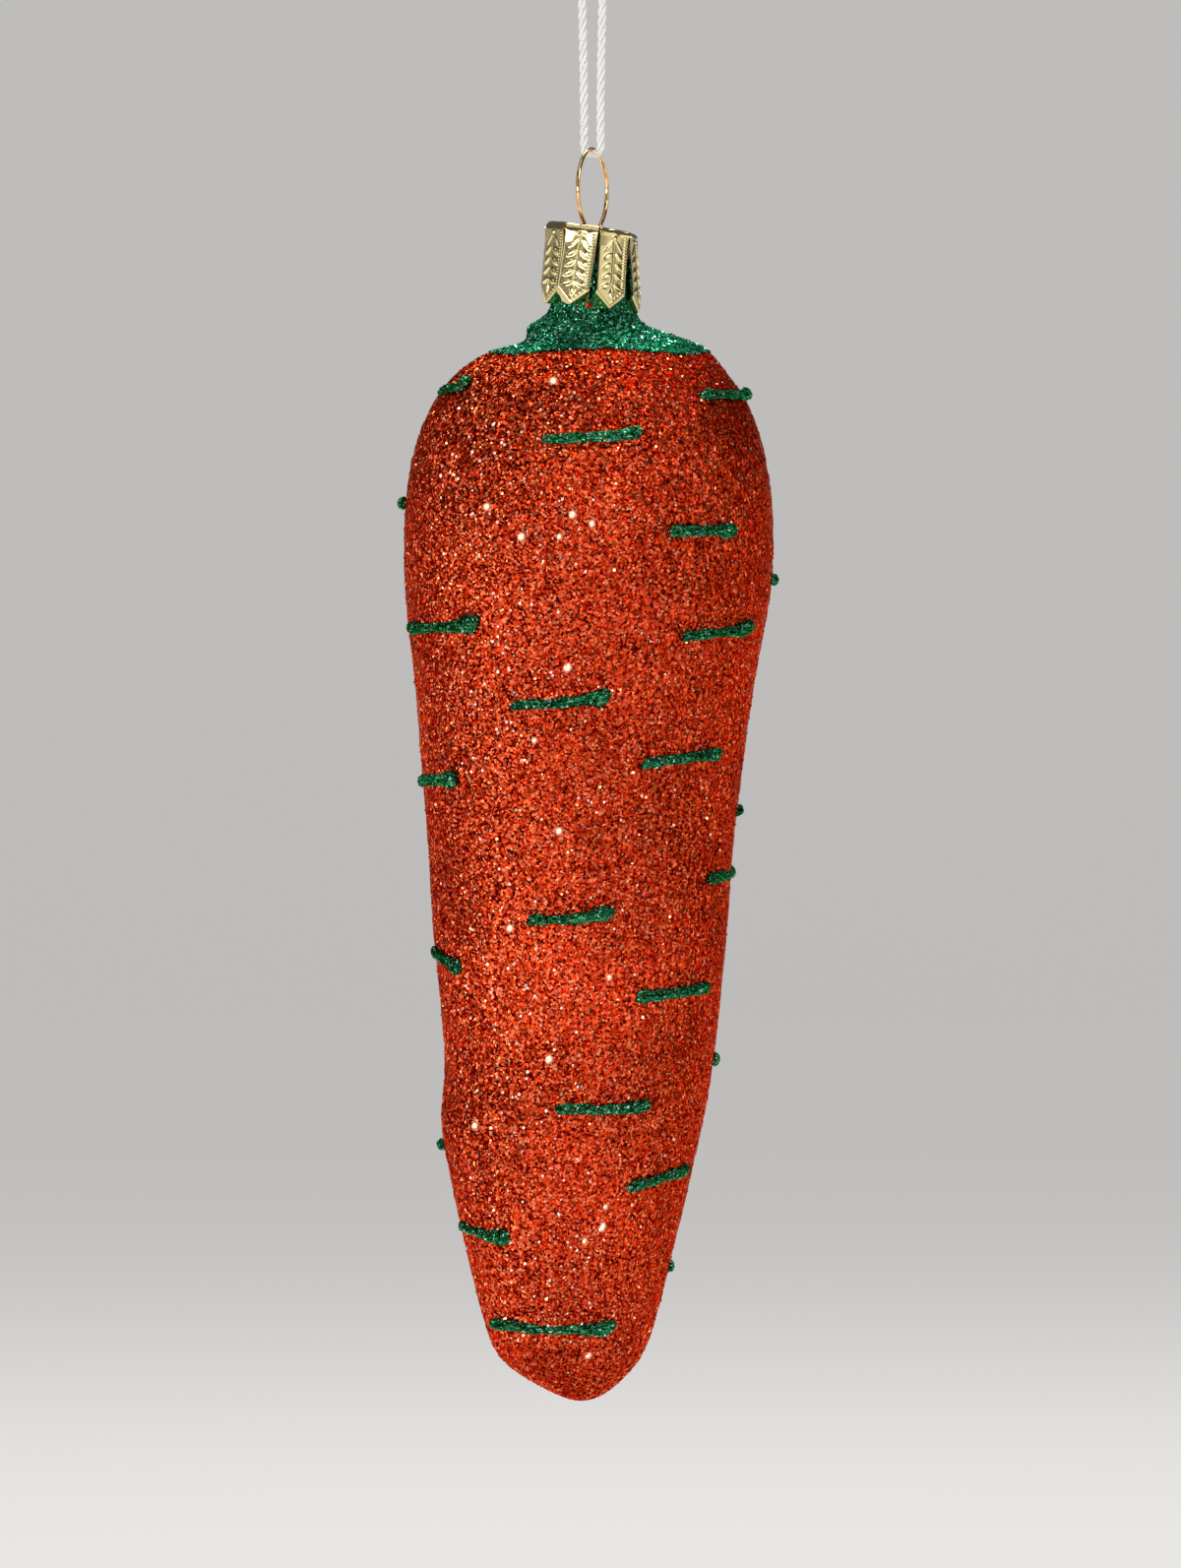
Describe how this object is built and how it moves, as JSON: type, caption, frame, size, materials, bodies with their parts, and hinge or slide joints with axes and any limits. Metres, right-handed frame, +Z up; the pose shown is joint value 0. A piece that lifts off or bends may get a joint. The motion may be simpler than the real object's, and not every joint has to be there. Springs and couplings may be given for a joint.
{
  "type": "carrot ornament",
  "caption": "Hanging glass carrot with an orange glitter coat, green glitter crown and piped dashes, a stamped crown cap, a spring wire ring and a cord loop.",
  "frame": {"origin": "inside the top of the cord loop, where a hook sits", "axes": "+Z up along the hanging line, +X to the right and +Y away when the ornament is seen as pictured"},
  "size_m": [0.0454, 0.045, 0.1803],
  "materials": {
    "glass": "clear blown glass",
    "orange_glitter": "orange-red glitter in clear glue",
    "green_glitter": "green glitter in clear glue",
    "cap_metal": "pale gold stamped sheet, bright",
    "hanger_wire": "copper-gold drawn wire",
    "cord": "white twisted cord"
  },
  "bodies": {
    "cord": {"hanging_cord": "cord", "cord_knot": "cord"},
    "hanger": {"wire_hanger": "hanger_wire"},
    "cap": {"crown_cap": "cap_metal"},
    "carrot": {"glass_shell": "glass", "orange_glitter_coat": "orange_glitter", "green_glitter_crown": "green_glitter", "dash_01": "green_glitter", "dash_02": "green_glitter", "dash_03": "green_glitter", "dash_04": "green_glitter", "dash_05": "green_glitter", "dash_06": "green_glitter", "dash_07": "green_glitter", "dash_08": "green_glitter", "dash_09": "green_glitter", "dash_10": "green_glitter", "dash_11": "green_glitter", "dash_12": "green_glitter", "dash_13": "green_glitter", "dash_14": "green_glitter", "dash_15": "green_glitter", "dash_16": "green_glitter", "dash_17": "green_glitter", "dash_18": "green_glitter", "dash_19": "green_glitter", "dash_20": "green_glitter", "dash_21": "green_glitter", "dash_22": "green_glitter", "dash_23": "green_glitter", "dash_24": "green_glitter", "dash_25": "green_glitter", "dash_26": "green_glitter", "dash_27": "green_glitter", "dash_28": "green_glitter", "dash_29": "green_glitter", "dash_30": "green_glitter", "dash_31": "green_glitter", "dash_32": "green_glitter", "dash_33": "green_glitter", "dash_34": "green_glitter", "dash_35": "green_glitter", "dash_36": "green_glitter", "dash_37": "green_glitter"}
  },
  "joints": [
    {"name": "ring_swing", "type": "hinge", "parent": "cord", "child": "hanger", "pos_m": [0, 0, -0.0251], "axis": [0.9336, -0.3584, 0], "range_deg": [-75, 75]},
    {"name": "cap_rock", "type": "hinge", "parent": "hanger", "child": "cap", "pos_m": [0, 0, -0.03369], "axis": [0.3584, 0.9336, 0], "range_deg": [-6, 6]},
    {"name": "neck_pull", "type": "slide", "parent": "cap", "child": "carrot", "axis": [0, 0, -1], "range_m": [0, 0.016]}
  ]
}
